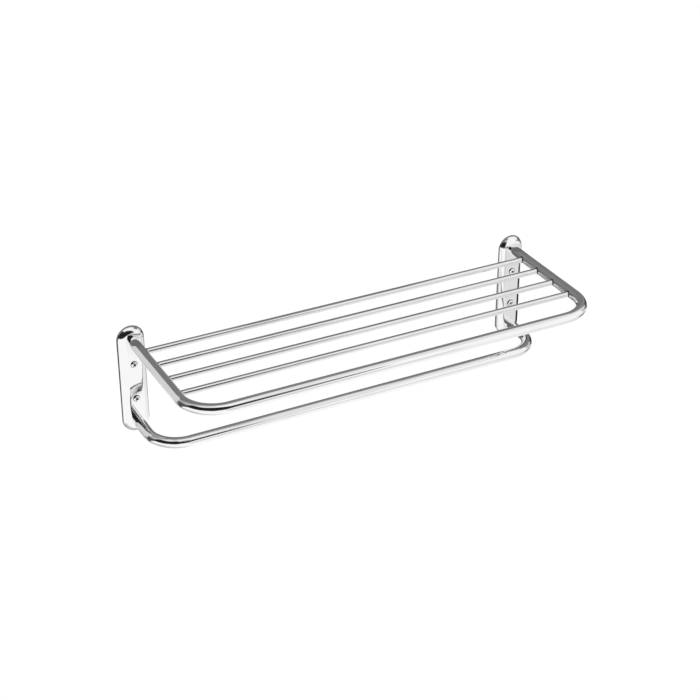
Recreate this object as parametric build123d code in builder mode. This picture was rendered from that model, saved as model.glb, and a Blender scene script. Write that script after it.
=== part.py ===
"""Wall-mounted towel rack: a shelf of rods in a bent tube frame, with a towel rail below it.

The origin is the centre of the four wall screws, on the wall plane. +X runs to the right
along the rack, +Y points into the wall and +Z is up. All sizes are in millimetres.
"""

from build123d import *

import os
from math import radians, sqrt, tan

# Layout of the rack
arm_span = 572.0  # axis of the left arms to axis of the right arms
arm_drop = 119.0  # shelf frame's axis down to the towel rail's axis
shelf_reach = 210.5  # wall to the axis of the shelf's front tube
rail_reach = 85.0  # wall to the axis of the towel rail
shelf_bend = 46.0  # bend radius of the shelf frame, on the tube's axis
rail_bend = 41.5  # bend radius of the towel rail, on the tube's axis

# Tube of the shelf frame and of the towel rail
tube_d = 14.6
tube_wall = 1.2

# Rods of the shelf, set into holes in the inner sides of the frame's arms
rod_d = 8.0
rod_count = 4
rod_first = 40.6  # wall to the first rod's axis
rod_pitch = 38.25
rod_entry = 1.0  # how far a rod's end stands inside the tube's bore
rod_chamfer = 0.5

# Cast wall plate, hollow behind, with bosses for the tube screws and the wall screws
plate_w = 37.5  # at the wall plane
plate_depth = 8.5
plate_rounding = 11.0  # radius of the border, whose centre lies behind the wall plane
plate_wall = 1.8
tube_seat = 0.8  # depth of the recess that locates a tube's end
tube_boss_d = 18.0
wall_boss_d = 12.5
boss_setback = 0.5  # wall plane to the backs of the bosses, so that the rim seats on the wall
rib_w = 2.6
rib_setback = 1.5  # wall plane to the back of the stiffening rib

# Plug pressed into each tube end, tapped for the tube screw
plug_length = 16.0
plug_bore_depth = 13.0
plug_chamfer = 0.8

# Tube screw with a button head and a hexagon socket, driven from behind the plate
tube_screw_d = 5.0
tube_screw_length = 14.0
tube_screw_head_d = 9.5
tube_screw_head_h = 2.8
tube_screw_crown = 1.3  # height of the rounded part of the head
tube_screw_hex = 3.0  # across flats
tube_screw_hex_depth = 1.6
tube_screw_back_gap = 0.3  # wall plane to the top of the head

# Spring washer under the tube screw's head
washer_d = 9.2
washer_thickness = 1.2
washer_split = 0.9

# Wall screw with a raised countersunk head and a cross recess
wall_screw_pitch = 51.0  # upper to lower screw of a plate
wall_screw_d = 4.2  # over the thread, which starts at the wall plane
wall_screw_neck_d = 3.6  # plain neck, from the head to the thread
wall_screw_length = 34.0  # face of the plate to the tip
wall_screw_point = 5.0
wall_screw_head_d = 9.6
wall_screw_raise = 2.6  # height of the head's dome above the plate's face
wall_screw_sink_angle = 90.0
cross_w = 4.4
cross_t = 1.1
cross_depth = 1.9

# Clearances
fit_gap = 0.05  # radial gap of seats, plugs, threads and brazed rod holes
bolt_gap = 0.3  # radial gap of screws in their clearance holes
counterbore_gap = 0.6  # radial gap around the tube screw's head

# Sizes that follow from the ones above
SIDES = {"left": -arm_span / 2, "right": arm_span / 2}
LEVELS = {"shelf": arm_drop / 2, "rail": -arm_drop / 2}
SCREW_ROWS = {"upper": wall_screw_pitch / 2, "lower": -wall_screw_pitch / 2}
tube_r = tube_d / 2
bore_r = tube_r - tube_wall
seat_floor = plate_depth - tube_seat  # wall plane to the end of every tube
counterbore_depth = tube_screw_back_gap + tube_screw_head_h + washer_thickness
rod_places = [rod_first + i * rod_pitch for i in range(rod_count)]


def wall_plane(x, z, depth=0.0):
    """Plane parallel to the wall, facing the room, at a distance in front of the wall."""
    return Plane(origin=(x, -depth, z), x_dir=(1, 0, 0), z_dir=(0, -1, 0))


def axial_plane(x, z, depth):
    """Plane through a fastener's axis: local x is its radius, local y runs into the wall."""
    return Plane(origin=(x, -depth, z), x_dir=(1, 0, 0), z_dir=(0, 0, 1))


def axis_into_wall(x, z):
    """Axis of a fastener at this place."""
    return Axis((x, 0, z), (0, 1, 0))


def save(builder, name):
    """Label a finished piece and write it under its name."""
    builder.part.label = name
    export_step(builder.part, f"parts/{name}.step")


def bent_tube(reach, bend, height):
    """Three-sided tube: an arm from each plate, joined by two bends and a front run."""
    x = arm_span / 2
    places = [(-x, seat_floor), (-x, reach), (x, reach), (x, seat_floor)]
    corners = [(along, -out, height) for along, out in places]
    with BuildPart() as tube:
        with BuildLine() as path:
            FilletPolyline(*corners, radius=bend)
        with BuildSketch(wall_plane(-x, height, seat_floor)):
            Circle(tube_r)
            Circle(bore_r, mode=Mode.SUBTRACT)
        sweep(path=path.line)
    return tube


def wall_plate(x):
    """Obround plate with a rounded border, hollow behind, with four bosses and a rib."""
    behind = plate_rounding - plate_depth  # wall plane back to the centre of the rounding
    bulge = plate_rounding - sqrt(plate_rounding**2 - behind**2)
    boss_top = plate_depth - plate_wall / 2  # the bosses run into the plate's front wall
    back = wall_plane(x, 0)
    from_behind = Plane(origin=(x, 0, 0), x_dir=(1, 0, 0), z_dir=(0, 1, 0))
    with BuildPart() as plate:
        with BuildSketch(back.offset(-behind - plate_wall)):
            SlotCenterToCenter(arm_drop, plate_w + 2 * bulge, rotation=90)
        extrude(amount=plate_depth + behind + plate_wall)
        fillet(plate.faces().sort_by(Axis.Y)[0].edges(), radius=plate_rounding)
        split(bisect_by=back, keep=Keep.TOP)
        offset(amount=-plate_wall, openings=plate.faces().sort_by(Axis.Y)[-1])
        with BuildSketch(back.offset(boss_setback)):
            with Locations(*[(0, z) for z in LEVELS.values()]):
                Circle(tube_boss_d / 2)
            with Locations(*[(0, z) for z in SCREW_ROWS.values()]):
                Circle(wall_boss_d / 2)
        extrude(amount=boss_top - boss_setback)
        with BuildSketch(back.offset(rib_setback)):
            Rectangle(rib_w, arm_drop)
        extrude(amount=boss_top - rib_setback)
        with BuildSketch(back.offset(seat_floor)):
            with Locations(*[(0, z) for z in LEVELS.values()]):
                Circle(tube_r + fit_gap)
        extrude(amount=tube_seat, mode=Mode.SUBTRACT)
        with Locations(*[from_behind.location * Location((0, -z, 0)) for z in LEVELS.values()]):
            CounterBoreHole(
                radius=tube_screw_d / 2 + bolt_gap,
                counter_bore_radius=tube_screw_head_d / 2 + counterbore_gap,
                counter_bore_depth=counterbore_depth,
            )
        face = back.offset(plate_depth)
        with Locations(*[face.location * Location((0, z, 0)) for z in SCREW_ROWS.values()]):
            CounterSinkHole(
                radius=wall_screw_d / 2 + bolt_gap,
                counter_sink_radius=wall_screw_head_d / 2 + fit_gap,
                counter_sink_angle=wall_screw_sink_angle,
            )
    return plate


os.makedirs("parts", exist_ok=True)

# Wall plates
for side, x in SIDES.items():
    save(wall_plate(x), f"{side}_wall_plate")

# Shelf frame with a row of rod holes in the inner side of each arm
shelf_z = LEVELS["shelf"]
shelf_tube = bent_tube(shelf_reach, shelf_bend, shelf_z)
with BuildPart() as shelf_frame:
    add(shelf_tube.part)
    inner_sides = [-arm_span / 2 + tube_r, arm_span / 2 - tube_r]
    with Locations(*[(x, -y, shelf_z) for x in inner_sides for y in rod_places]):
        Cylinder(rod_d / 2 + fit_gap, tube_d, rotation=(0, 90, 0), mode=Mode.SUBTRACT)
save(shelf_frame, "shelf_frame_tube")

# Shelf rods
rod_length = arm_span - 2 * bore_r + 2 * rod_entry
for number, y in enumerate(rod_places, start=1):
    with BuildPart() as rod:
        with BuildSketch(Plane(origin=(-rod_length / 2, -y, shelf_z), z_dir=(1, 0, 0))):
            Circle(rod_d / 2)
        extrude(amount=rod_length)
        chamfer(rod.edges().filter_by(GeomType.CIRCLE), length=rod_chamfer)
    save(rod, f"shelf_rod_{number}")

# Towel rail
save(bent_tube(rail_reach, rail_bend, LEVELS["rail"]), "towel_rail_tube")

# Plug, screw and spring washer at each tube end
for side, x in SIDES.items():
    for level, z in LEVELS.items():
        with BuildPart() as plug:
            with BuildSketch(wall_plane(x, z, seat_floor)):
                Circle(bore_r - fit_gap)
            extrude(amount=plug_length)
            chamfer(plug.edges().filter_by(GeomType.CIRCLE).sort_by(Axis.Y)[0], length=plug_chamfer)
            with BuildSketch(wall_plane(x, z, seat_floor)):
                Circle(tube_screw_d / 2 + fit_gap)
            extrude(amount=plug_bore_depth, mode=Mode.SUBTRACT)
        save(plug, f"{level}_{side}_tube_plug")

        under_head = tube_screw_back_gap + tube_screw_head_h
        with BuildPart() as tube_screw:
            with BuildSketch(axial_plane(x, z, under_head)):
                with BuildLine():
                    crown_start = (tube_screw_head_d / 2, tube_screw_head_h - tube_screw_crown)
                    crown_end = (0, tube_screw_head_h)
                    tip = (0, -tube_screw_length)
                    Polyline(
                        tip,
                        (tube_screw_d / 2, -tube_screw_length),
                        (tube_screw_d / 2, 0),
                        (tube_screw_head_d / 2, 0),
                        crown_start,
                    )
                    TangentArc(crown_end, crown_start, tangent=(1, 0))
                    Line(crown_end, tip)
                make_face()
            revolve(axis=axis_into_wall(x, z))
            with BuildSketch(wall_plane(x, z, tube_screw_back_gap)):
                RegularPolygon(tube_screw_hex / 2, 6, major_radius=False)
            extrude(amount=tube_screw_hex_depth, mode=Mode.SUBTRACT)
        save(tube_screw, f"{level}_{side}_tube_screw")

        with BuildPart() as washer:
            with BuildSketch(wall_plane(x, z, under_head)):
                Circle(washer_d / 2)
                Circle(tube_screw_d / 2 + fit_gap, mode=Mode.SUBTRACT)
                with Locations((0, -washer_d / 2)):
                    Rectangle(washer_split, washer_d, mode=Mode.SUBTRACT)
            extrude(amount=washer_thickness)
        save(washer, f"{level}_{side}_spring_washer")

# Wall screws
sink_depth = (wall_screw_head_d - wall_screw_neck_d) / 2 / tan(radians(wall_screw_sink_angle / 2))
for side, x in SIDES.items():
    for row, z in SCREW_ROWS.items():
        with BuildPart() as wall_screw:
            with BuildSketch(axial_plane(x, z, plate_depth)):
                with BuildLine():
                    crown = (0, -wall_screw_raise)
                    head_edge = (wall_screw_head_d / 2, 0)
                    EllipticalCenterArc(
                        (0, 0), wall_screw_head_d / 2, wall_screw_raise, start_angle=270, arc_size=90
                    )
                    Polyline(
                        head_edge,
                        (wall_screw_neck_d / 2, sink_depth),
                        (wall_screw_neck_d / 2, plate_depth),
                        (wall_screw_d / 2, plate_depth),
                        (wall_screw_d / 2, wall_screw_length - wall_screw_point),
                        (0, wall_screw_length),
                        crown,
                    )
                make_face()
            revolve(axis=axis_into_wall(x, z))
            with BuildSketch(wall_plane(x, z, plate_depth + wall_screw_raise)):
                Rectangle(cross_w, cross_t)
                Rectangle(cross_t, cross_w)
            extrude(amount=-cross_depth, mode=Mode.SUBTRACT)
        save(wall_screw, f"{side}_{row}_wall_screw")
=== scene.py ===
"""Looks of a wall-mounted chrome towel rack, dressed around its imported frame.

The rack is a shelf of rods in a bent tube frame, with a towel rail below it, on two wall
plates. All sizes are in metres, in the frame's own axes: +X along the rack, +Y into the
wall and +Z up, with the origin between the four wall screws.
"""

import logging
import math
from collections.abc import Callable, Iterable, Sequence
from dataclasses import dataclass, field
from enum import Enum

import bmesh
import bpy
from mathutils import Matrix, Vector


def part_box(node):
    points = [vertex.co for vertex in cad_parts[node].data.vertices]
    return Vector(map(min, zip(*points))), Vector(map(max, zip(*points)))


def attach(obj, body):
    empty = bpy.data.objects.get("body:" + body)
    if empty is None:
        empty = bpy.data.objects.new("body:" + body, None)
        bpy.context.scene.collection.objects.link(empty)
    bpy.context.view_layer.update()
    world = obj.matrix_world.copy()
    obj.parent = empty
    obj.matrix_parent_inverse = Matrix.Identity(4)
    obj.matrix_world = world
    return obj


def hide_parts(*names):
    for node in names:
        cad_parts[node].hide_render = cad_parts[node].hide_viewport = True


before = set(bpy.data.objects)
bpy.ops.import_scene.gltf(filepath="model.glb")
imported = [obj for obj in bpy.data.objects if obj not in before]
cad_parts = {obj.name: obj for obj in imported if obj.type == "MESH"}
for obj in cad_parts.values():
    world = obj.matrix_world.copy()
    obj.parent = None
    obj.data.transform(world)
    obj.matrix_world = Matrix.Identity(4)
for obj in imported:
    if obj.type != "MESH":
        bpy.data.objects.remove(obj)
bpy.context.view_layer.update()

LOG = logging.getLogger("towel_rack")
BODY = "root"
MM = 0.001
FULL_TURN = 2.0 * math.pi
QUARTER_TURN = 0.5 * math.pi
FLAT_CREASE = 30.0

Colour = tuple[float, float, float, float]
Socket = bpy.types.NodeSocket


def grey(value: float) -> Colour:
    """Neutral colour of this linear value."""
    return (value, value, value, 1.0)


WHITE = grey(1.05)
DARK = grey(0.020)


def smooth_step(low: float, high: float, value: float) -> float:
    """Soft change from 0 to 1 while a value goes from low to high.

    Args:
        low: Value that still gives 0.
        high: Value that already gives 1.
        value: Value to place between them.

    Returns:
        Share between 0 and 1.
    """
    share = min(1.0, max(0.0, (value - low) / (high - low)))
    return share * share * (3.0 - 2.0 * share)


def corners(low: Sequence[float], high: Sequence[float]) -> list[tuple[float, float]]:
    """Corners of a rectangle in order, from its lowest and its highest one."""
    (left, bottom), (right, top) = low, high
    return [(left, bottom), (right, bottom), (right, top), (left, top)]


def ring_turns(count: int) -> list[float]:
    """Angles of a full turn in equal steps."""
    return [FULL_TURN * i / count for i in range(count)]


@dataclass(frozen=True)
class NodeBox:
    """Lowest and highest corner of one node of the frame."""

    low: Vector
    high: Vector

    @classmethod
    def of(cls, node: str) -> "NodeBox":
        """Reads the box of a node by its name."""
        low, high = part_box(node)
        return cls(Vector(low), Vector(high))

    @property
    def middle(self) -> Vector:
        """Centre of the box."""
        return (self.low + self.high) / 2.0

    @property
    def size(self) -> Vector:
        """Lengths of the box's sides."""
        return self.high - self.low


class Draft:
    """Points and faces of one mesh while it is being made."""

    def __init__(self) -> None:
        """Starts with no points and no faces."""
        self.points: list[Vector] = []
        self.faces: list[tuple[int, ...]] = []

    def row(self, points: Iterable[Vector]) -> list[int]:
        """Adds a row of points.

        Args:
            points: Places of the new points, in order.

        Returns:
            Numbers of the new points.
        """
        first = len(self.points)
        self.points.extend(points)
        return list(range(first, len(self.points)))

    def bridge(self, one: Sequence[int], other: Sequence[int]) -> None:
        """Joins two closed rings of equal length with four-sided faces.

        Args:
            one: Point numbers of the first ring.
            other: Point numbers of the second ring.
        """
        count = len(one)
        for i in range(count):
            j = (i + 1) % count
            self.faces.append((one[i], one[j], other[j], other[i]))

    def skin(self, rings: Sequence[Sequence[int]]) -> None:
        """Joins every ring to the next one."""
        for one, other in zip(rings, rings[1:]):
            self.bridge(one, other)

    def cap(self, ring: Sequence[int], tip: Vector) -> None:
        """Closes a ring with a fan of faces.

        Args:
            ring: Point numbers of the ring.
            tip: Place of the fan's middle.
        """
        (middle,) = self.row([tip])
        for i, number in enumerate(ring):
            self.faces.append((number, ring[(i + 1) % len(ring)], middle))

    def patch(self, points: Iterable[Vector]) -> "Draft":
        """Adds one face with points of its own, and hands back the draft."""
        self.faces.append(tuple(self.row(points)))
        return self

    def mesh(self, name: str, crease: float) -> bpy.types.Mesh:
        """Turns the draft into a smooth mesh with outward faces.

        Args:
            name: Name of the mesh.
            crease: Angle in degrees above which an edge stays sharp.

        Returns:
            The finished mesh.
        """
        mesh = bpy.data.meshes.new(name)
        mesh.from_pydata([tuple(p) for p in self.points], [], self.faces)
        shaping = bmesh.new()
        shaping.from_mesh(mesh)
        bmesh.ops.recalc_face_normals(shaping, faces=shaping.faces)
        shaping.to_mesh(mesh)
        shaping.free()
        mesh.shade_smooth()
        mesh.set_sharp_from_angle(angle=math.radians(crease))
        mesh.update()
        return mesh


class NodeDesk:
    """Places and links the nodes of one node tree."""

    MIX_COLOURS = (6, 7)
    MIX_RESULT = 2

    def __init__(self, tree: bpy.types.NodeTree) -> None:
        """Keeps the tree that is worked on."""
        self.tree = tree

    def node(self, kind: str, **settings: object) -> bpy.types.Node:
        """Adds a node.

        Args:
            kind: Type name of the node.
            settings: Properties of the node, by name.

        Returns:
            The new node.
        """
        made = self.tree.nodes.new(kind)
        for name, value in settings.items():
            setattr(made, name, value)
        return made

    def feed(self, socket: Socket, value: object) -> None:
        """Links another socket to this one, or sets its plain value.

        Args:
            socket: Input that is fed.
            value: Socket to link, or plain value.
        """
        if isinstance(value, Socket):
            self.tree.links.new(value, socket)
        else:
            socket.default_value = value

    def result(self, kind: str, values: Iterable[object], out: int = 0, **settings: object) -> Socket:
        """Adds a node and feeds its inputs in order.

        Args:
            kind: Type name of the node.
            values: Its inputs, as sockets or plain values.
            out: Which of its outputs is wanted.
            settings: Properties of the node, by name.

        Returns:
            The output's socket.
        """
        made = self.node(kind, **settings)
        for socket, value in zip(made.inputs, values):
            self.feed(socket, value)
        return made.outputs[out]

    def math(self, operation: str, *values: object) -> Socket:
        """Result of a Math node."""
        return self.result("ShaderNodeMath", values, operation=operation)

    def vector(self, operation: str, *values: object, out: int = 0) -> Socket:
        """Result of a Vector Math node."""
        return self.result("ShaderNodeVectorMath", values, out, operation=operation)

    def blend(self, share: object, one: Socket, other: Socket) -> Socket:
        """Result of a Mix Shader node."""
        return self.result("ShaderNodeMixShader", (share, one, other))

    def place(self) -> Socket:
        """Coordinate in the object's own axes."""
        return self.node("ShaderNodeTexCoord").outputs["Object"]

    def split(self, place: Socket) -> tuple[Socket, ...]:
        """X, Y and Z of a coordinate."""
        return tuple(self.result("ShaderNodeSeparateXYZ", (place,)).node.outputs)

    def span(self, one: Socket, other: Socket) -> Socket:
        """Length of the diagonal over two distances."""
        squares = [self.math("POWER", side, 2.0) for side in (one, other)]
        return self.math("SQRT", self.math("ADD", *squares))

    def soft_range(
        self,
        value: object,
        start: Sequence[object],
        end: Sequence[object] = (0.0, 1.0),
        smooth: bool = True,
    ) -> Socket:
        """Result of a Map Range node, held within its ends.

        Args:
            value: Socket or number to map.
            start: Two values that are mapped.
            end: What they become.
            smooth: Whether the change eases in and out.

        Returns:
            The result's socket.
        """
        ease = "SMOOTHSTEP" if smooth else "LINEAR"
        return self.result("ShaderNodeMapRange", (value, *start, *end), interpolation_type=ease, clamp=True)

    def mask(self, value: Socket, ends: Sequence[float]) -> Socket:
        """Mask of a stretch of values.

        Args:
            value: Value that is masked.
            ends: Two values over which the mask rises, and two more over which it falls again if it does.

        Returns:
            The mask's socket.
        """
        rise = self.soft_range(value, ends[:2])
        if len(ends) == 2:
            return rise
        return self.math("MULTIPLY", rise, self.soft_range(value, ends[:1:-1]))

    def mix_colour(self, share: object, one: object, other: object) -> Socket:
        """Blend of two colours.

        Args:
            share: Share of the second colour, from 0 to 1.
            one: First colour, as a socket or plain value.
            other: Second colour, as a socket or plain value.

        Returns:
            The blend's socket.
        """
        made = self.node("ShaderNodeMix", data_type="RGBA")
        self.feed(made.inputs["Factor"], share)
        for number, colour in zip(self.MIX_COLOURS, (one, other)):
            self.feed(made.inputs[number], colour)
        return made.outputs[self.MIX_RESULT]

    def noise(self, place: Socket, scale: object, detail: float, rough: float = 0.5) -> Socket:
        """Value of a Noise Texture.

        Args:
            place: Coordinate socket.
            scale: Size of the pattern, as a number or socket.
            detail: Number of finer layers.
            rough: Strength of the finer layers.

        Returns:
            The noise value's socket.
        """
        made = self.node("ShaderNodeTexNoise")
        self.feed(made.inputs["Vector"], place)
        self.feed(made.inputs["Scale"], scale)
        made.inputs["Detail"].default_value = detail
        made.inputs["Roughness"].default_value = rough
        return made.outputs[0]


class Effect(Enum):
    """Surface effects that several finishes share, each one a node group."""

    HAZE = "polish_haze"
    RIPPLE = "plating_ripple"
    GRAIN = "drawn_grain"
    CAST = "cast_skin"


def bare_material(name: str) -> tuple[bpy.types.Material, NodeDesk, Socket]:
    """Makes a material with nothing in it but its output.

    Args:
        name: Name of the material.

    Returns:
        The material, the desk of its node tree and the socket of its surface.
    """
    made = bpy.data.materials.new(name)
    made.use_nodes = True
    nodes = made.node_tree.nodes
    nodes.remove(nodes["Principled BSDF"])
    return made, NodeDesk(made.node_tree), nodes["Material Output"].inputs["Surface"]


class EffectShop:
    """Builds each shared effect once and hands out its node group."""

    VECTORS = ("Place", "Stretch")
    NOISE_EDGE = (0.35, 0.65)
    CLOUD_EDGE = (0.42, 0.72)
    WIPE_STRETCH = (1.0, 3.5, 9.0)
    WIPE_SCALE = 2.3
    WIPE_SHARE = (0.55, 1.0)
    PATCH_SCALE = 0.08

    def __init__(self) -> None:
        """Starts with no group made."""
        self._made: dict[Effect, bpy.types.NodeTree] = {}
        self._makers: dict[Effect, Callable[[], bpy.types.NodeTree]] = {
            Effect.HAZE: self._haze,
            Effect.RIPPLE: self._ripple,
            Effect.GRAIN: self._grain,
            Effect.CAST: self._cast,
        }

    def place(self, desk: NodeDesk, effect: Effect, **values: object) -> bpy.types.Node:
        """Puts an effect into a material.

        Args:
            desk: Desk of the material's node tree.
            effect: Which effect is wanted.
            values: Its inputs by name, as sockets or plain values.

        Returns:
            The group node.
        """
        if effect not in self._made:
            self._made[effect] = self._makers[effect]()
        made = desk.node("ShaderNodeGroup", node_tree=self._made[effect])
        for name, value in values.items():
            desk.feed(made.inputs[name], value)
        return made

    @classmethod
    def _start(
        cls, effect: Effect, inputs: Sequence[str], outputs: Sequence[str]
    ) -> tuple[NodeDesk, dict[str, Socket], dict[str, Socket]]:
        """Makes an empty group with named sockets.

        Args:
            effect: Effect that the group is for.
            inputs: Names of its inputs.
            outputs: Names of its outputs.

        Returns:
            The group's desk, its input sockets and its output sockets.
        """
        tree = bpy.data.node_groups.new(effect.value, "ShaderNodeTree")
        for way, labels in (("INPUT", inputs), ("OUTPUT", outputs)):
            for label in labels:
                kind = "NodeSocketVector" if label in cls.VECTORS else "NodeSocketFloat"
                tree.interface.new_socket(label, in_out=way, socket_type=kind)
        desk = NodeDesk(tree)
        entry, leave = desk.node("NodeGroupInput"), desk.node("NodeGroupOutput")
        take = {label: entry.outputs[label] for label in inputs}
        return desk, take, {label: leave.inputs[label] for label in outputs}

    def _haze(self) -> bpy.types.NodeTree:
        """Faint clouds of polishing haze and handling film, as a roughness.

        Returns:
            The effect's node group.
        """
        desk, take, give = self._start(
            Effect.HAZE, ("Place", "Scale", "Clear", "Hazy"), ("Roughness", "Film")
        )
        clouds = desk.noise(take["Place"], take["Scale"], detail=4.0, rough=0.62)
        wiped = desk.vector("MULTIPLY", take["Place"], self.WIPE_STRETCH)
        wipe_scale = desk.math("MULTIPLY", take["Scale"], self.WIPE_SCALE)
        wipes = desk.soft_range(desk.noise(wiped, wipe_scale, detail=3.0), self.NOISE_EDGE, self.WIPE_SHARE)
        film = desk.math("MULTIPLY", desk.soft_range(clouds, self.CLOUD_EDGE), wipes)
        desk.feed(give["Film"], film)
        rough = desk.soft_range(film, (0.0, 1.0), (take["Clear"], take["Hazy"]), smooth=False)
        desk.feed(give["Roughness"], rough)
        return desk.tree

    def _ripple(self) -> bpy.types.NodeTree:
        """Long shallow waves that polishing leaves below the plating, as a height.

        Returns:
            The effect's node group.
        """
        desk, take, give = self._start(Effect.RIPPLE, ("Place", "Scale", "Stretch"), ("Height",))
        place = desk.vector("MULTIPLY", take["Place"], take["Stretch"])
        desk.feed(give["Height"], desk.noise(place, take["Scale"], detail=1.0))
        return desk.tree

    def _grain(self) -> bpy.types.NodeTree:
        """Fine lines of drawing or turning, as a height and a mask.

        Returns:
            The effect's node group.
        """
        desk, take, give = self._start(Effect.GRAIN, ("Place", "Scale", "Stretch"), ("Height", "Lines"))
        place = desk.vector("MULTIPLY", take["Place"], take["Stretch"])
        lines = desk.noise(place, take["Scale"], detail=3.0, rough=0.7)
        desk.feed(give["Height"], lines)
        desk.feed(give["Lines"], desk.soft_range(lines, self.NOISE_EDGE))
        return desk.tree

    def _cast(self) -> bpy.types.NodeTree:
        """Fine pebbled skin of an unpolished casting, as a height and a mask.

        Returns:
            The effect's node group.
        """
        desk, take, give = self._start(Effect.CAST, ("Place", "Scale"), ("Height", "Patches"))
        pebbles = desk.noise(take["Place"], take["Scale"], detail=3.0, rough=0.65)
        patch_scale = desk.math("MULTIPLY", take["Scale"], self.PATCH_SCALE)
        patches = desk.noise(take["Place"], patch_scale, detail=3.0)
        desk.feed(give["Height"], pebbles)
        desk.feed(give["Patches"], desk.soft_range(patches, self.NOISE_EDGE))
        return desk.tree


EFFECTS = EffectShop()


class MetalFinish:
    """Common start of every metal finish."""

    name: str
    slot: str
    clear: float
    hazy: float
    haze_scale: float

    def material(self) -> bpy.types.Material:
        """The finish's material, made on its first use."""
        made = bpy.data.materials.get(self.name)
        return made if made is not None else self._make()

    def _make(self) -> bpy.types.Material:
        """Builds the material with its node tree.

        Returns:
            The new material.
        """
        made = bpy.data.materials.new(self.name)
        made.use_nodes = True
        desk = NodeDesk(made.node_tree)
        shader = made.node_tree.nodes["Principled BSDF"]
        shader.inputs["Metallic"].default_value = 1.0
        self._dress(desk, shader.inputs, desk.place())
        return made

    def _clouds(self, desk: NodeDesk, place: Socket) -> bpy.types.Node:
        """Haze of this finish, at its own scale and strength.

        Args:
            desk: Desk of the material's node tree.
            place: Coordinate in the object's own axes.

        Returns:
            The effect's node.
        """
        return EFFECTS.place(
            desk, Effect.HAZE, Place=place, Scale=self.haze_scale, Clear=self.clear, Hazy=self.hazy
        )

    def _dress(self, desk: NodeDesk, into: bpy.types.NodeInputs, place: Socket) -> None:
        """Fills the shader's inputs; each finish has its own way."""
        raise NotImplementedError

    @staticmethod
    def _bump(desk: NodeDesk, height: Socket, depth: float, under: Socket | None = None) -> Socket:
        """Normal that a height gives.

        Args:
            desk: Desk of the material's node tree.
            height: Height socket, from 0 to 1.
            depth: Real depth of the relief.
            under: Normal of a coarser relief below this one.

        Returns:
            The normal's socket.
        """
        made = desk.node("ShaderNodeBump")
        made.inputs["Strength"].default_value = 1.0
        made.inputs["Distance"].default_value = depth
        desk.feed(made.inputs["Height"], height)
        if under is not None:
            desk.feed(made.inputs["Normal"], under)
        return made.outputs["Normal"]


@dataclass(frozen=True)
class Chrome(MetalFinish):
    """Bright chrome plating over polished metal, with patches where a kind of piece has them: dull plating on
    the plates, painted shade on the rods and screws.
    """

    name: str
    slot: str
    bright: Colour = (0.888, 0.890, 0.893, 1.0)
    filmed: Colour = (0.853, 0.856, 0.860, 1.0)
    clear: float = 0.035
    hazy: float = 0.075
    haze_scale: float = 26.0
    ripple_scale: float = 30.0
    ripple_depth: float = 0.004 * MM
    ripple_stretch: tuple[float, float, float] = (1.0, 1.0, 1.0)
    dull: Colour = (0.56, 0.565, 0.575, 1.0)
    dull_rough: float = 0.42

    def _dress(self, desk: NodeDesk, into: bpy.types.NodeInputs, place: Socket) -> None:
        """Clear mirror with clouds of haze and the faint waves of its polish, below any patch of dull plating
        and of painted shade.

        Args:
            desk: Desk of the material's node tree.
            into: Inputs of its shader.
            place: Coordinate in the object's own axes.
        """
        haze = self._clouds(desk, place)
        ripple = EFFECTS.place(
            desk, Effect.RIPPLE, Place=place, Scale=self.ripple_scale, Stretch=self.ripple_stretch
        )
        colour = desk.mix_colour(haze.outputs["Film"], self.bright, self.filmed)
        rough = haze.outputs["Roughness"]
        normal = self._bump(desk, ripple.outputs["Height"], self.ripple_depth)
        patch = self._patch(desk, place)
        if patch is not None:
            colour = desk.mix_colour(patch, colour, self._dull_colour(desk, place))
            rough = desk.math("MAXIMUM", rough, desk.math("MULTIPLY", patch, self.dull_rough))
            normal = self._dull_normal(desk, place, patch, normal)
        desk.feed(into["Base Color"], colour)
        desk.feed(into["Roughness"], rough)
        desk.feed(into["Normal"], normal)

    def _patch(self, desk: NodeDesk, place: Socket) -> Socket | None:
        """Mask of the patches of dull plating and painted shade, or None where there are none."""
        return None

    def _dull_colour(self, desk: NodeDesk, place: Socket) -> object:
        """Colour of the patches: dull plating on the plates, painted shade on the rods and screws."""
        return self.dull

    def _dull_normal(self, desk: NodeDesk, place: Socket, patch: Socket, smooth: Socket) -> Socket:
        """Normal of the whole surface, with the relief of the dull patches."""
        return smooth


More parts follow.
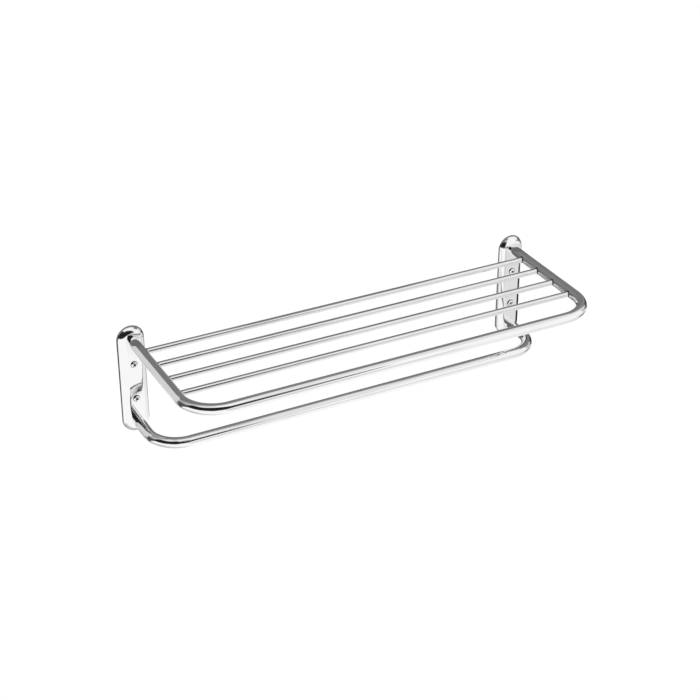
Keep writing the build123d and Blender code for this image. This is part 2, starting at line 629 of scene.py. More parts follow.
@dataclass(frozen=True)
class PlateChrome(Chrome):
    """Bright chrome on the plate's outside, thin dull plating on the cast hollow behind it."""

    dull_dark: Colour = (0.47, 0.475, 0.485, 1.0)
    skin_scale: float = 1500.0
    skin_depth: float = 0.03 * MM
    plate_x: float = 0.286
    half_straight: float = 0.0595
    half_flat: float = 8.04 * MM
    depth: float = 8.5 * MM
    rounding: float = 11.0 * MM
    inset: float = 0.9 * MM
    blur: float = 0.1 * MM

    def _dull_colour(self, desk: NodeDesk, place: Socket) -> object:
        """Two greys of the cast skin."""
        skin = EFFECTS.place(desk, Effect.CAST, Place=place, Scale=self.skin_scale)
        return desk.mix_colour(skin.outputs["Patches"], self.dull, self.dull_dark)

    def _dull_normal(self, desk: NodeDesk, place: Socket, patch: Socket, smooth: Socket) -> Socket:
        """Smooth outside and pebbled cast skin inside."""
        skin = EFFECTS.place(desk, Effect.CAST, Place=place, Scale=self.skin_scale)
        return self._bump(desk, desk.math("MULTIPLY", skin.outputs["Height"], patch), self.skin_depth, smooth)

    def _patch(self, desk: NodeDesk, place: Socket) -> Socket:
        """Mask of the hollow behind the plate, from the depth below the outer skin.

        Args:
            desk: Desk of the material's node tree.
            place: Coordinate in the object's own axes.

        Returns:
            The mask's socket.
        """
        x, y, z = desk.split(place)
        across = desk.math("SUBTRACT", desk.math("ABSOLUTE", x), self.plate_x)
        along = desk.math("SUBTRACT", desk.math("ABSOLUTE", z), self.half_straight)
        out = desk.span(across, desk.math("MAXIMUM", along, 0.0))
        over = desk.math("SUBTRACT", out, self.half_flat)
        up = desk.math("SUBTRACT", self.rounding - self.depth, y)
        reach = desk.span(desk.math("MAXIMUM", over, 0.0), up)
        edge = self.rounding - self.inset
        return desk.soft_range(reach, (edge + self.blur, edge - self.blur))


@dataclass(frozen=True)
class RodChrome(Chrome):
    """Chrome of the shelf's rods, with a dark band of painted shade where they meet the arms, weaker on the
    left.
    """

    arm_x: float = 286.0 * MM
    arm_z: float = 59.5 * MM
    arm_r: float = 7.3 * MM
    junction_shade: tuple[float, float] = (1.5 * MM, 1.0 * MM)
    middle: tuple[float, float] = (-0.1, 0.1)
    left_shade_share: float = 0.3

    def _patch(self, desk: NodeDesk, place: Socket) -> Socket:
        """Mask of the painted shade at the rod ends, from the distance to the arm's skin.

        Args:
            desk: Desk of the material's node tree.
            place: Coordinate in the object's own axes.

        Returns:
            The mask's socket.
        """
        x, _, z = desk.split(place)
        across = desk.math("SUBTRACT", desk.math("ABSOLUTE", x), self.arm_x)
        lift = desk.math("SUBTRACT", z, self.arm_z)
        # Painted shade: the rod darkens close to the arm's skin, less at its left end.
        junction_shade = desk.soft_range(desk.math("SUBTRACT", desk.span(across, lift), self.arm_r), self.junction_shade)
        return desk.math("MULTIPLY", junction_shade, desk.soft_range(x, self.middle, (self.left_shade_share, 1.0)))


@dataclass(frozen=True)
class ScrewChrome(Chrome):
    """Bright chrome on a screw, with painted shade in its recess and around the foot of its dome."""

    screw_x: float = 286.0 * MM
    screw_z: float = 25.5 * MM
    face: float = 8.5 * MM
    rise: float = 2.6 * MM
    edge: float = 4.8 * MM
    recess: tuple[float, float] = (0.35 * MM, 0.75 * MM)
    foot: tuple[float, float] = (1.3 * MM, 0.975 * MM)
    head: tuple[float, float] = (-0.3 * MM, -0.1 * MM)

    def _patch(self, desk: NodeDesk, place: Socket) -> Socket:
        """Mask of the painted shade in the cross recess and around the dome's foot.

        Args:
            desk: Desk of the material's node tree.
            place: Coordinate in the object's own axes.

        Returns:
            The mask's socket.
        """
        x, y, z = desk.split(place)
        across = desk.math("SUBTRACT", desk.math("ABSOLUTE", x), self.screw_x)
        along = desk.math("SUBTRACT", desk.math("ABSOLUTE", z), self.screw_z)
        out = desk.math("DIVIDE", desk.span(across, along), self.edge)
        dome = desk.math("SUBTRACT", 1.0, desk.math("POWER", out, 2.0))
        dome = desk.math("MULTIPLY", desk.math("SQRT", desk.math("MAXIMUM", dome, 0.0)), self.rise)
        lift = desk.math("SUBTRACT", -self.face, y)
        recess = desk.soft_range(desk.math("SUBTRACT", dome, lift), self.recess)
        # Painted shade: darker in the cross recess and at the foot of the dome.
        recess_and_foot_shade = desk.math("MAXIMUM", recess, desk.soft_range(lift, self.foot))
        return desk.math("MULTIPLY", recess_and_foot_shade, desk.soft_range(lift, self.head))


@dataclass(frozen=True)
class Brass(MetalFinish):
    """Turned brass of the plugs inside the tube ends."""

    name: str
    slot: str
    light: Colour = (0.80, 0.58, 0.27, 1.0)
    dark: Colour = (0.62, 0.42, 0.17, 1.0)
    clear: float = 0.20
    hazy: float = 0.38
    haze_scale: float = 160.0
    grain_scale: float = 2600.0
    grain_depth: float = 0.012 * MM
    grain_stretch: tuple[float, float, float] = (0.02, 1.0, 0.02)
    line_share: float = 0.4

    def _dress(self, desk: NodeDesk, into: bpy.types.NodeInputs, place: Socket) -> None:
        """Turning lines along the axis and darker clouds where it has aged.

        Args:
            desk: Desk of the material's node tree.
            into: Inputs of its shader.
            place: Coordinate in the object's own axes.
        """
        haze = self._clouds(desk, place)
        grain = EFFECTS.place(
            desk, Effect.GRAIN, Place=place, Scale=self.grain_scale, Stretch=self.grain_stretch
        )
        lines = desk.math("MULTIPLY", grain.outputs["Lines"], self.line_share)
        aged = desk.math("MAXIMUM", haze.outputs["Film"], lines)
        desk.feed(into["Base Color"], desk.mix_colour(aged, self.light, self.dark))
        desk.feed(into["Roughness"], haze.outputs["Roughness"])
        desk.feed(into["Normal"], self._bump(desk, grain.outputs["Height"], self.grain_depth))


@dataclass(frozen=True)
class Zinc(MetalFinish):
    """Zinc-plated steel of the screws and washers behind the plates."""

    name: str
    slot: str
    light: Colour = (0.66, 0.67, 0.69, 1.0)
    dark: Colour = (0.50, 0.52, 0.55, 1.0)
    clear: float = 0.26
    hazy: float = 0.44
    haze_scale: float = 220.0
    skin_scale: float = 1800.0
    skin_depth: float = 0.012 * MM
    patch_share: float = 0.6

    def _dress(self, desk: NodeDesk, into: bpy.types.NodeInputs, place: Socket) -> None:
        """Satin grey with the cloudy patches of a plating bath.

        Args:
            desk: Desk of the material's node tree.
            into: Inputs of its shader.
            place: Coordinate in the object's own axes.
        """
        haze = self._clouds(desk, place)
        skin = EFFECTS.place(desk, Effect.CAST, Place=place, Scale=self.skin_scale)
        patches = desk.math("MULTIPLY", skin.outputs["Patches"], self.patch_share)
        cloud = desk.math("MAXIMUM", haze.outputs["Film"], patches)
        desk.feed(into["Base Color"], desk.mix_colour(cloud, self.light, self.dark))
        desk.feed(into["Roughness"], haze.outputs["Roughness"])
        desk.feed(into["Normal"], self._bump(desk, skin.outputs["Height"], self.skin_depth))


TUBE_CHROME = Chrome("bent_tube_chrome", "tube_chrome", ripple_stretch=(0.5, 1.0, 1.0))
ROD_CHROME = RodChrome(
    "shelf_rod_chrome",
    "rod_chrome",
    bright=(0.798, 0.800, 0.803, 1.0),
    filmed=(0.763, 0.766, 0.770, 1.0),
    haze_scale=34.0,
    ripple_stretch=(0.3, 1.0, 1.0),
    # On the rods the dull colour is painted shade at their ends, where they meet the arms.
    dull=(0.10, 0.10, 0.103, 1.0),
)
SCREW_CHROME = ScrewChrome(
    "wall_screw_chrome",
    "screw_chrome",
    clear=0.05,
    hazy=0.12,
    haze_scale=120.0,
    # On the screws the dull colour is painted shade in the recess and around the dome's foot.
    dull=(0.035, 0.035, 0.037, 1.0),
    dull_rough=0.5,
)
PLATE_CHROME = PlateChrome("wall_plate_chrome", "plate_chrome", haze_scale=22.0, ripple_scale=24.0)
PLUG_BRASS = Brass("tube_plug_brass", "plug_brass")
FIXING_ZINC = Zinc("fixing_zinc", "zinc_steel")


def put_piece(name: str, draft: Draft, crease: float, material: bpy.types.Material) -> bpy.types.Object:
    """Puts a new object into the scene.

    Args:
        name: Name of the object.
        draft: Its points and faces.
        crease: Angle in degrees above which an edge stays sharp.
        material: Its material.

    Returns:
        The object.
    """
    piece = bpy.data.objects.new(name, draft.mesh(name, crease))
    bpy.context.scene.collection.objects.link(piece)
    piece.data.materials.append(material)
    return piece


def hang(name: str, draft: Draft, finish: MetalFinish, nodes: Sequence[str], crease: float = 35.0) -> None:
    """Makes a piece of the rack from a draft, in place of nodes of the frame.

    Args:
        name: Name of the piece.
        draft: Its points and faces.
        finish: Its finish.
        nodes: Nodes that the piece stands for.
        crease: Angle in degrees above which an edge stays sharp.
    """
    piece = put_piece(name, draft, crease, finish.material())
    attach(piece, BODY)
    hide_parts(*nodes)
    LOG.info("%s: %d points, for %s", name, len(piece.data.vertices), ", ".join(nodes))


def dress_node(node: str, finish: MetalFinish) -> None:
    """Gives a node of the frame its finish.

    Args:
        node: Name of the node.
        finish: Its finish.
    """
    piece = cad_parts[node]
    piece.data.materials.clear()
    piece.data.materials.append(finish.material())
    LOG.info("%s: node with finish %s", node, finish.name)


@dataclass
class BentTube:
    """Three-sided tube: an arm from each plate, two bends and a front run."""

    name: str
    node: str
    bend: float
    wall: float = 1.2 * MM
    segments: int = 96
    bend_rings: int = 48
    run_rings: int = 24
    finish: MetalFinish = TUBE_CHROME
    radius: float = field(init=False)
    arm_x: float = field(init=False)
    reach: float = field(init=False)
    seat: float = field(init=False)
    height: float = field(init=False)

    def __post_init__(self) -> None:
        """Takes the tube's sizes from its node."""
        box = NodeBox.of(self.node)
        self.radius = box.size.z / 2.0
        self.arm_x = box.high.x - self.radius
        self.reach = -box.low.y - self.radius
        self.seat = -box.high.y
        self.height = box.middle.z

    def path(self) -> list[tuple[Vector, Vector]]:
        """Middle line of the tube, from the left plate to the right one.

        Returns:
            Points on the line, each with the direction to the outside of the bends.
        """
        x, reach, bend = self.arm_x, self.reach, self.bend
        to_left, to_front = Vector((-1.0, 0.0, 0.0)), Vector((0.0, -1.0, 0.0))
        half: list[tuple[Vector, Vector]] = []
        for i in range(self.run_rings):
            y = self.seat + (reach - bend - self.seat) * i / self.run_rings
            half.append((Vector((-x, -y, self.height)), to_left))
        for i in range(self.bend_rings + 1):
            turn = QUARTER_TURN * i / self.bend_rings
            out = Vector((-math.cos(turn), -math.sin(turn), 0.0))
            half.append((Vector((-x + bend, -reach + bend, self.height)) + out * bend, out))
        for i in range(1, self.run_rings + 1):
            at = -x + bend + (x - bend) * i / self.run_rings
            half.append((Vector((at, -reach, self.height)), to_front))
        flip = Vector((-1.0, 1.0, 1.0))
        return half + [(p * flip, d * flip) for p, d in reversed(half[:-1])]

    def rings(self, draft: Draft, radius: float) -> list[list[int]]:
        """Adds one round ring at each point of the path.

        Args:
            draft: Draft that takes the rings.
            radius: Radius of the rings.

        Returns:
            Point numbers of the rings.
        """
        up = Vector((0.0, 0.0, 1.0))
        turns = ring_turns(self.segments)
        return [
            draft.row(centre + (out * math.cos(t) + up * math.sin(t)) * radius for t in turns)
            for centre, out in self.path()
        ]

    def build(self) -> None:
        """Makes the hollow tube with its outer and inner skin."""
        draft = Draft()
        outer = self.rings(draft, self.radius)
        inner = self.rings(draft, self.radius - self.wall)
        draft.skin(outer)
        draft.skin(inner)
        draft.bridge(outer[0], inner[0])
        draft.bridge(outer[-1], inner[-1])
        hang(self.name, draft, self.finish, [self.node])


@dataclass
class ShelfRods:
    """Straight rods of the shelf, brazed to the inner sides of the frame's arms."""

    frame_tube: BentTube
    count: int = 4
    segments: int = 64
    run_rings: int = 12
    fillet: float = 0.8 * MM
    fillet_rings: int = 8
    run_out: float = 4.0
    sunk: float = 0.4 * MM
    finish: MetalFinish = ROD_CHROME

    def arm_surface(self, lift: float) -> float:
        """Distance along X from the middle to the right arm's inner side.

        Args:
            lift: Height above the arm's axis.

        Returns:
            Place of the arm's skin along X.
        """
        return self.frame_tube.arm_x - math.sqrt(self.frame_tube.radius**2 - lift**2)

    def half_profile(self, radius: float) -> list[tuple[float, Callable[[float], float]]]:
        """Rings from the rod's middle to its sunk end.

        Args:
            radius: Radius of the rod.

        Returns:
            For each ring its radius and its place along X by the height of a point.
        """
        start = self.arm_surface(0.0) - self.run_out * self.fillet
        rings: list[tuple[float, Callable[[float], float]]] = []
        for i in range(self.run_rings + 1):
            at = start * i / self.run_rings
            rings.append((radius, lambda lift, at=at: at))
        for i in range(self.fillet_rings + 1):
            turn = QUARTER_TURN * i / self.fillet_rings
            wide = radius + self.fillet * (1.0 - math.cos(turn))
            short = self.fillet * (1.0 - math.sin(turn))
            rings.append((wide, lambda lift, short=short: self.arm_surface(lift) - short))
        last = radius + self.fillet
        rings.append((last, lambda lift: self.arm_surface(lift) + self.sunk))
        return rings

    def build(self) -> None:
        """Makes every rod with a small braze fillet at both ends."""
        for number in range(1, self.count + 1):
            node = f"shelf_rod_{number}"
            box = NodeBox.of(node)
            middle, radius = box.middle, box.size.z / 2.0
            draft = Draft()
            half = self.half_profile(radius)
            both = [(-1.0, *ring) for ring in reversed(half[1:])] + [(1.0, *ring) for ring in half]
            rows = []
            for side, wide, place in both:
                points = []
                for turn in ring_turns(self.segments):
                    lift = wide * math.sin(turn)
                    at = (side * place(lift), middle.y + wide * math.cos(turn), middle.z + lift)
                    points.append(Vector(at))
                rows.append(draft.row(points))
            draft.skin(rows)
            tip = self.arm_surface(0.0) + self.sunk
            draft.cap(rows[0], Vector((-tip, middle.y, middle.z)))
            draft.cap(rows[-1], Vector((tip, middle.y, middle.z)))
            hang(f"shelf_bar_{number}", draft, self.finish, [node])


@dataclass
class WallScrews:
    """Raised countersunk wood screws with a cross recess and a rolled thread."""

    turns: dict[str, float] = field(
        default_factory=lambda: dict(left_upper=20.0, left_lower=63.0, right_upper=38.0, right_lower=8.0)
    )
    head_rings: int = 44
    segments: int = 96
    raise_height: float = 2.6 * MM
    sink_steps: tuple[float, ...] = (0.5, 1.0)
    neck_r: float = 1.8 * MM
    core_r: float = 1.45 * MM
    thread_r: float = 2.1 * MM
    pitch: float = 1.8 * MM
    crest_share: float = 0.24
    rings_per_pitch: int = 18
    point: float = 5.0 * MM
    point_gain: float = 1.25
    point_rest: float = 0.02
    tip_share: float = 0.995
    cross_half_length: float = 2.5 * MM
    cross_half_width: float = 0.75 * MM
    cross_corner: float = 0.35 * MM
    cross_depth: float = 1.8 * MM
    cross_draft: float = 0.28 * MM
    cross_slope: float = 0.45
    crease: float = 40.0
    finish: MetalFinish = SCREW_CHROME

    def recess(self, x: float, z: float) -> float:
        """Share of the cross recess's depth at a place on the head.

        Args:
            x: First direction across the head.
            z: Second direction across the head.

        Returns:
            0 outside the recess and 1 on its floor.
        """
        along, across = max(abs(x), abs(z)), min(abs(x), abs(z))
        wall = min(self.cross_half_width - across, self.cross_half_length - along)
        corner = self.cross_half_width + self.cross_corner - (abs(x) + abs(z)) / math.sqrt(2.0)
        wall = max(wall, corner)
        slope = 1.0 - self.cross_slope * (along / self.cross_half_length) ** 2
        return smooth_step(0.0, self.cross_draft, wall) * slope

    def head_height(self, out: float, edge: float) -> float:
        """Height of the head's dome above the plate's face at a distance from its axis."""
        return self.raise_height * math.sqrt(max(0.0, 1.0 - (out / edge) ** 2))

    def build(self) -> None:
        """Makes the four screws in their places."""
        for place, turn in self.turns.items():
            self._screw(place, math.radians(turn))

    def _screw(self, place: str, spin: float) -> None:
        """Makes one screw.

        Args:
            place: Side and row of the screw.
            spin: Angle of its recess.
        """
        node = f"{place}_wall_screw"
        box = NodeBox.of(node)
        middle, edge = box.middle, box.size.x / 2.0
        face = box.low.y + self.raise_height
        tip = box.high.y
        draft = Draft()
        rows = []
        for ring in range(1, self.head_rings + 1):
            out = edge * math.sin(QUARTER_TURN * ring / self.head_rings)
            points = []
            for turn in ring_turns(self.segments):
                x, z = out * math.cos(turn), out * math.sin(turn)
                lift = self.head_height(out, edge) - self.cross_depth * self.recess(x, z)
                points.append(self._spun(x, face - lift, z, spin, middle))
            rows.append(draft.row(points))
        draft.cap(rows[0], Vector((middle.x, face - self.raise_height + self.cross_depth, middle.z)))
        sink = edge - self.neck_r
        for share in self.sink_steps:
            rows.append(self._round(draft, middle, edge - sink * share, face + sink * share))
        rows.append(self._round(draft, middle, self.neck_r, 0.0))
        blunt = self.point * self.point_rest
        steps = max(2, round((tip - blunt) / self.pitch * self.rings_per_pitch))
        for step in range(1, steps + 1):
            rows.append(self._thread_ring(draft, middle, tip * self.tip_share * step / steps, tip))
        draft.skin(rows)
        draft.cap(rows[-1], Vector((middle.x, tip, middle.z)))
        hang(f"{place}_screw", draft, self.finish, [node], self.crease)

    @staticmethod
    def _spun(x: float, y: float, z: float, spin: float, middle: Vector) -> Vector:
        """Point of a screw turned about its axis."""
        cos, sin = math.cos(spin), math.sin(spin)
        return Vector((middle.x + x * cos - z * sin, y, middle.z + x * sin + z * cos))

    def _round(self, draft: Draft, middle: Vector, radius: float, y: float) -> list[int]:
        """Adds a plain ring around the screw's axis.

        Args:
            draft: Draft that takes the ring.
            middle: Place of the screw's axis.
            radius: Radius of the ring.
            y: Depth of the ring behind the wall plane.

        Returns:
            Point numbers of the ring.
        """
        turns = ring_turns(self.segments)
        return draft.row(
            Vector((middle.x + radius * math.cos(t), y, middle.z + radius * math.sin(t))) for t in turns
        )

    def _thread_ring(self, draft: Draft, middle: Vector, y: float, tip: float) -> list[int]:
        """Adds a ring of the threaded shank.

        Args:
            draft: Draft that takes the ring.
            middle: Place of the screw's axis.
            y: Depth of the ring behind the wall plane.
            tip: Depth of the screw's tip.

        Returns:
            Point numbers of the ring.
        """
        slim = min(1.0, (tip - y) / self.point)
        core = self.core_r * slim
        begun = smooth_step(0.0, self.pitch, y)
        crest_r = self.thread_r * min(1.0, slim * self.point_gain + self.point_rest)
        rise = (crest_r - core) * begun
        start = self.neck_r + (core - self.neck_r) * begun
        points = []
        for i, turn in enumerate(ring_turns(self.segments)):
            phase = (y / self.pitch - i / self.segments) % 1.0
            crest = max(0.0, 1.0 - abs(phase - 0.5) / self.crest_share)
            out = start + rise * crest
            points.append(Vector((middle.x + out * math.cos(turn), y, middle.z + out * math.sin(turn))))
        return draft.row(points)


@dataclass
class WallPlates:
    """Two cast plates that keep their shape from the frame."""

    nodes: tuple[str, ...] = ("left_wall_plate", "right_wall_plate")
    finish: MetalFinish = PLATE_CHROME

    def dress(self) -> None:
        """Gives both plates their chrome."""
        for node in self.nodes:
            dress_node(node, self.finish)


@dataclass
class TubeFixings:
    """Plug, screw and spring washer at each of the four tube ends."""

    levels: tuple[str, ...] = ("shelf", "rail")
    sides: tuple[str, ...] = ("left", "right")

    def dress(self) -> None:
        """Gives the fixings of every tube end their metals."""
        for level in self.levels:
            for side in self.sides:
                dress_node(f"{level}_{side}_tube_plug", PLUG_BRASS)
                dress_node(f"{level}_{side}_tube_screw", FIXING_ZINC)
                dress_node(f"{level}_{side}_spring_washer", FIXING_ZINC)


class StagePiece:
    """Part of the studio that isn't part of the rack."""

    name: str

    def draft(self) -> Draft:
        """Shape of the piece."""
        raise NotImplementedError

    def light(self, desk: NodeDesk) -> tuple[object, Socket | None]:
        """Colour of the piece's even glow and, where it fades out, its cover from 0 to 1."""
        raise NotImplementedError

    def put_up(self) -> None:
        """Makes the piece so that only mirrors can see it."""
        piece = put_piece(self.name, self.draft(), FLAT_CREASE, self._paint())
        piece.visible_camera = False
        piece.visible_diffuse = False
        piece.visible_transmission = False
        piece.visible_shadow = False

    def _paint(self) -> bpy.types.Material:
        """Material that glows evenly and takes no light.

        Returns:
            The material.
        """
        paint, desk, surface = bare_material(self.name)
        colour, cover = self.light(desk)
        shader = desk.result("ShaderNodeEmission", [colour])
        if cover is not None:
            shader = desk.blend(cover, desk.result("ShaderNodeBsdfTransparent", []), shader)
        desk.feed(surface, shader)
        return paint


@dataclass(frozen=True)
class Card(StagePiece):
    """Upright card parallel to the wall, with soft left and right sides if wanted."""

    name: str
    low: tuple[float, float]
    high: tuple[float, float]
    y: float
    level: float
    soft: float = 0.0

    def draft(self) -> Draft:
        """Flat four-sided card."""
        return Draft().patch(Vector((x, self.y, z)) for x, z in corners(self.low, self.high))

    def light(self, desk: NodeDesk) -> tuple[object, Socket | None]:
        """Even level that fades out towards the card's soft sides.

        Args:
            desk: Desk of the material's node tree.

        Returns:
            The colour, and the cover or None.
        """
        if not self.soft:
            return grey(self.level), None
        x, _, _ = desk.split(desk.place())
        left, right = self.low[0], self.high[0]
        return grey(self.level), desk.mask(x, (left, left + self.soft, right - self.soft, right))


@dataclass(frozen=True)
class LevelCard(StagePiece):
    """Level card that fades out towards one long side and at its ends."""

    name: str
    deep: tuple[float, float]
    z: float
    level: float
    fade: tuple[float, float]
    ends: tuple[float, float, float, float]

    def draft(self) -> Draft:
        """Flat four-sided card."""
        plan = corners((self.ends[0], self.deep[0]), (self.ends[-1], self.deep[1]))
        return Draft().patch(Vector((x, y, self.z)) for x, y in plan)

    def light(self, desk: NodeDesk) -> tuple[object, Socket | None]:
        """Even level with its fading cover."""
        x, y, _ = desk.split(desk.place())
        return grey(self.level), desk.math("MULTIPLY", desk.mask(y, self.fade), desk.mask(x, self.ends))


@dataclass(frozen=True)
class DomeWallShadow(StagePiece):
    """Dark half ring in the wall plane, around the rounded top of a plate: painted shadow of the plate on a
    wall, seen only in mirrors.
    """

    name: str
    x: float
    z: float = 59.5 * MM
    y: float = 0.5 * MM
    inner: float = 19.0 * MM
    wide: float = 25.5 * MM
    tall: float = 35.0 * MM
    level: float = 0.16
    segments: int = 48

    def draft(self) -> Draft:
        """Flat half ring with a round inner and an oval outer side.

        Returns:
            The draft.
        """
        made = Draft()
        turns = [math.pi * i / self.segments for i in range(self.segments + 1)]
        rows = []
        for wide, tall in ((self.inner, self.inner), (self.wide, self.tall)):
            rim = ((self.x + wide * math.cos(t), self.y, self.z + tall * math.sin(t)) for t in turns)
            rows.append(made.row(map(Vector, rim)))
        near, far = rows
        for i in range(self.segments):
            made.faces.append((near[i], near[i + 1], far[i + 1], far[i]))
        return made

    def light(self, desk: NodeDesk) -> tuple[object, Socket | None]:
        """Even dark grey of the painted shadow."""
        return grey(self.level), None


@dataclass(frozen=True)
class DarkSide(StagePiece):
    """Oval dark screen around the camera, above the level of the rack, thinner along its rim."""

    name: str = "dark_side"
    centre: tuple[float, float, float] = (0.0, -0.15, 0.0)
    distance: float = 1.5
    turn: float = -153.0
    rise: float = 31.0
    wide: float = 47.5
    tall: float = 29.0
    lowest: float = 2.0
    level: float = 0.015
    rim_cover: float = 0.80
    rim: tuple[float, float] = (1.0, 0.93)
    core: tuple[float, float] = (0.78, 0.66)
    rings: int = 40
    segments: int = 120

    def _directions(self) -> tuple[Vector, Vector, Vector]:
        """Directions from the screen's centre.

        Returns:
            Ways to the screen's middle, to its side and to its top, the last two as long as its half sizes.
        """
        turn, rise = math.radians(self.turn), math.radians(self.rise)
        axis = Vector((math.sin(turn) * math.cos(rise), math.cos(turn) * math.cos(rise), math.sin(rise)))
        side = axis.cross(Vector((0.0, 0.0, 1.0))).normalized()
        up = side.cross(axis)
        return axis, side * math.tan(math.radians(self.wide)), up * math.tan(math.radians(self.tall))

    def draft(self) -> Draft:
        """Oval patch of a ball around the rack, cut off level at its lower side.

        Returns:
            The draft.
        """
        axis, side, up = self._directions()
        low = math.sin(math.radians(self.lowest))
        made = Draft()
        rows = []
        for ring in range(1, self.rings + 1):
            share = ring / self.rings
            points = []
            for around in ring_turns(self.segments):
                way = (axis + (side * math.cos(around) + up * math.sin(around)) * share).normalized()
                if way.z < low:
                    flat = Vector((way.x, way.y, 0.0)).normalized() * math.sqrt(1.0 - low**2)
                    way = flat + Vector((0.0, 0.0, low))
                points.append(Vector(self.centre) + way * self.distance)
            rows.append(made.row(points))
        made.cap(rows[0], Vector(self.centre) + axis * self.distance)
        made.skin(rows)
        return made

    def light(self, desk: NodeDesk) -> tuple[object, Socket | None]:
        """Nearly black, thinner in a broad ring along the rim.

        Args:
            desk: Desk of the material's node tree.

        Returns:
            The colour, and the cover or None.
        """
        axis, side, up = self._directions()
        way = desk.vector("SUBTRACT", desk.place(), self.centre)
        ahead = desk.vector("DOT_PRODUCT", way, tuple(axis), out=1)
        parts = []
        for across in (side, up):
            along = desk.vector("DOT_PRODUCT", way, tuple(across / across.length_squared), out=1)
            parts.append(desk.math("DIVIDE", along, ahead))
        share = desk.span(*parts)
        rim = desk.soft_range(share, self.rim, (0.0, self.rim_cover))
        return grey(self.level), desk.soft_range(share, self.core, (rim, 1.0))


@dataclass(frozen=True)
class Zone:
    """Area of a surface with a shade of its own, bounded by one or two measures."""

    name: str
    shade: Colour
    first: tuple[float, ...] = ()
    second: tuple[float, ...] = ()

    def lay(self, desk: NodeDesk, under: object, first: Socket, second: Socket) -> Socket:
        """Lays the zone over the shade below it.

        Args:
            desk: Desk of the surface's node tree.
            under: Shade below the zone.
            first: Measure that the zone's first bounds are read on.
            second: Measure that its second bounds are read on.

        Returns:
            The shade with the zone in it.
        """
        bounds = ((first, self.first), (second, self.second))
        cover, *more = [desk.mask(value, ends) for value, ends in bounds if ends]
        if more:
            cover = desk.math("MULTIPLY", cover, *more)
        laid = desk.mix_colour(cover, under, self.shade)
        laid.node.label = self.name
        return laid


@dataclass(frozen=True)
class Table(StagePiece):
    """White table below the rack as its mirrors show it, duller away from the light."""

    name: str = "table"
    z: float = -0.56
    half: float = 12.0
    zones: tuple[Zone, ...] = (
        Zone("front", grey(0.68), (-0.05, 0.15), (-0.95, -1.15)),
        Zone("right", grey(0.82), (0.25, 0.85)),
        Zone("under_left", grey(0.60), (-0.95, -0.80, -0.22, -0.08), (-0.35, -0.10)),
        Zone("corner", grey(0.02), (1.03, 1.11, 1.44, 1.52), (-0.46, -0.36, 0.22, 0.32)),
        Zone("back_left", grey(0.42), (), (0.40, 0.56)),
        Zone("back_right", grey(0.20), (0.0, 0.22), (0.40, 0.56)),
        Zone("far_right", grey(0.03), (2.2, 3.0), (0.40, 0.56)),
        Zone("bright_left", WHITE, (-0.24, -0.36), (0.40, 0.56, 0.76, 0.84)),
        Zone("dark_left", grey(0.09), (-0.38, -0.50), (0.24, 0.32, 0.46, 0.54)),
        Zone("far_left", grey(0.09), (-0.85, -1.00), (0.24, 0.32)),
    )

    def draft(self) -> Draft:
        """Flat square."""
        plan = corners((-self.half, -self.half), (self.half, self.half))
        return Draft().patch(Vector((x, y, self.z)) for x, y in plan)

    def light(self, desk: NodeDesk) -> tuple[object, Socket | None]:
        """White in the middle, with its zones over it by their places along X and Y.

        Args:
            desk: Desk of the material's node tree.

        Returns:
            The colour, and the cover or None.
        """
        across, deep, _ = desk.split(desk.place())
        level: object = WHITE
        for zone in self.zones:
            level = zone.lay(desk, level, across, deep)
        return level, None


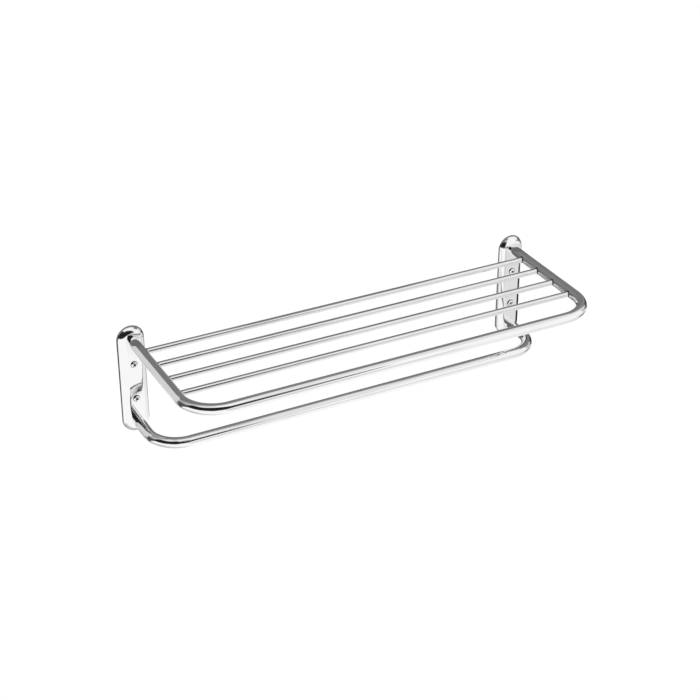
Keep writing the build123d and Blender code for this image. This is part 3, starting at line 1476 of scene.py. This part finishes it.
@dataclass
class Studio:
    """White studio with a dark side and darker back walls, its floor, its cards and the camera."""

    camera_at: Vector = field(default_factory=lambda: Vector((-0.88790, -1.76888, 1.10502)))
    camera_turn: float = 27.452
    camera_dip: float = 29.897
    camera_roll: float = 0.069
    sensor: float = 36.0
    lens: float = 85.341
    floor_height: float = -0.55
    floor_side: float = 30.0
    floor_shade: float = 0.9
    floor_glow: float = 1.08
    floor_glow_share: float = 0.88
    back_wall: Colour = (0.199, 0.200, 0.202, 1.0)
    walls: tuple[Zone, ...] = (
        Zone("side_wall", (0.249, 0.250, 0.252, 1.0), (35.0, 55.0)),
        Zone("left_wall", (0.420, 0.421, 0.423, 1.0), (-40.0, -52.0), (14.0, 26.0)),
        Zone("left_corner", (0.090, 0.090, 0.091, 1.0), (-55.0, -63.0), (22.0, 10.0)),
        Zone("right_corner", DARK, (50.0, 60.0, 68.0, 75.0), (17.0, 11.0)),
        Zone("right_wall", (0.700, 0.701, 0.703, 1.0), (69.0, 78.0), (0.0, 8.0, 45.0, 55.0)),
        Zone("front_right", WHITE, (99.0, 111.0)),
        Zone("front_left", WHITE, (-150.0, -172.0)),
    )
    ceiling: Zone = Zone("ceiling", WHITE, (-0.50, 0.40), (25.0, 35.0))
    dark_left: Zone = Zone("dark_left", DARK, (-132.0, -120.0, -88.0, -76.0), (57.0, 49.0))
    pieces: tuple[StagePiece, ...] = (
        Table(),
        DarkSide(),
        LevelCard("awning", (-0.22, 0.45), 0.356, 0.235, (-0.202, -0.082), (-0.10, 0.0, 0.22, 0.32)),
        LevelCard(
            "front_strip", (-0.224, -0.2085), 0.075, 0.85, (-0.2085, -0.2135), (-0.24, -0.18, 0.22, 0.28)
        ),
        LevelCard("rail_strip", (-0.125, -0.083), -0.044, 0.85, (-0.083, -0.088), (-0.20, -0.11, 0.02, 0.10)),
        LevelCard("rail_flag", (-0.11, 0.16), 0.10, 0.225, (-0.11, -0.09), (0.36, 0.39, 0.64, 0.72)),
        Card("front_panel", (0.09, -0.02), (1.40, 1.50), -0.33, 1.02, soft=0.10),
        Card("back_panel", (-0.68, -0.60), (-0.476, 0.60), 0.39, 0.72),
        Card("back_left_panel", (-1.05, -0.26), (-0.68, 0.60), 0.39, 0.72),
        # Dark cards and half rings in the wall plane beside, above and below the plates are painted shadow of
        # the plates on a wall, seen only in mirrors.
        Card("left_wall_shadow", (-0.3064, -0.080), (-0.3050, 0.060), 0.0005, 0.10),
        DomeWallShadow("left_dome_wall_shadow", -0.286),
        Card("middle_wall_shadow", (0.2500, -0.080), (0.2670, 0.060), 0.0005, 0.15),
        DomeWallShadow("right_dome_wall_shadow", 0.286),
        Card("right_wall_shadow", (0.3050, -0.100), (0.3280, 0.080), 0.002, 0.06),
        Card("left_low_wall_shadow", (-0.3205, -0.110), (-0.2600, -0.0785), 0.002, 0.42),
        Card("right_low_wall_shadow", (0.2510, -0.110), (0.3450, -0.0785), 0.002, 0.15),
    )

    def set_up(self) -> None:
        """Makes the world, the floor, the pieces around the rack and the camera."""
        bpy.context.scene.view_settings.view_transform = "Standard"
        self._world()
        self._floor()
        for piece in self.pieces:
            piece.put_up()
        self._camera()

    def _world(self) -> None:
        """Soft studio surroundings, drawn by direction, with plain white behind the object."""
        world = bpy.data.worlds.new("studio")
        bpy.context.scene.world = world
        world.use_nodes = True
        desk = NodeDesk(world.node_tree)
        background = world.node_tree.nodes["Background"]
        way = desk.vector("NORMALIZE", desk.node("ShaderNodeTexCoord").outputs["Generated"])
        to_right, to_back, to_top = desk.split(way)
        to_front = desk.math("MULTIPLY", to_back, -1.0)
        turn = desk.math("DEGREES", desk.math("ARCTAN2", to_right, to_back))
        rise = desk.math("DEGREES", desk.math("ARCSINE", to_top))
        room: object = self.back_wall
        for zone in self.walls:
            room = zone.lay(desk, room, turn, rise)
        room = self.ceiling.lay(desk, room, to_front, rise)
        room = self.dark_left.lay(desk, room, turn, rise)
        seen = desk.node("ShaderNodeLightPath").outputs["Is Camera Ray"]
        desk.feed(background.inputs["Color"], desk.mix_colour(seen, room, grey(1.0)))

    def _floor(self) -> None:
        """Pale floor below the rack, seen from above only."""
        half = self.floor_side / 2.0
        plan = corners((-half, -half), (half, half))
        draft = Draft().patch(Vector((x, y, self.floor_height)) for x, y in plan)
        floor = put_piece("studio_floor", draft, FLAT_CREASE, self._floor_paint())
        if floor.data.polygons[0].normal.z < 0.0:
            floor.data.flip_normals()
        floor.visible_glossy = False
        floor.visible_diffuse = False

    def _floor_paint(self) -> bpy.types.Material:
        """White floor that takes a little shadow and can't be seen from below.

        Returns:
            The material.
        """
        paint, desk, surface = bare_material("studio_floor")
        matt = desk.result("ShaderNodeBsdfDiffuse", [grey(self.floor_shade)])
        glow = desk.result("ShaderNodeEmission", [grey(1.0), self.floor_glow])
        above = desk.blend(self.floor_glow_share, matt, glow)
        below = desk.result("ShaderNodeBsdfTransparent", [])
        side = desk.node("ShaderNodeNewGeometry").outputs["Backfacing"]
        desk.feed(surface, desk.blend(side, above, below))
        return paint

    def _camera(self) -> None:
        """Camera at the photograph's place."""
        data = bpy.data.cameras.new("camera")
        data.sensor_width = self.sensor
        data.lens = self.lens
        camera = bpy.data.objects.new("camera", data)
        bpy.context.scene.collection.objects.link(camera)
        turn = Matrix.Rotation(math.radians(-self.camera_turn), 4, "Z")
        dip = Matrix.Rotation(math.radians(90.0 - self.camera_dip), 4, "X")
        roll = Matrix.Rotation(math.radians(self.camera_roll), 4, "Z")
        camera.matrix_world = Matrix.Translation(self.camera_at) @ turn @ dip @ roll
        bpy.context.scene.camera = camera


def main() -> None:
    """Builds and dresses the rack, then sets up the studio."""
    logging.basicConfig(level=logging.INFO, format="%(name)s: %(message)s")
    shelf = BentTube("shelf_frame", "shelf_frame_tube", bend=46.0 * MM)
    shelf.build()
    BentTube("towel_rail", "towel_rail_tube", bend=41.5 * MM).build()
    ShelfRods(shelf).build()
    WallScrews().build()
    WallPlates().dress()
    TubeFixings().dress()
    Studio().set_up()


if __name__ == "__main__":
    main()
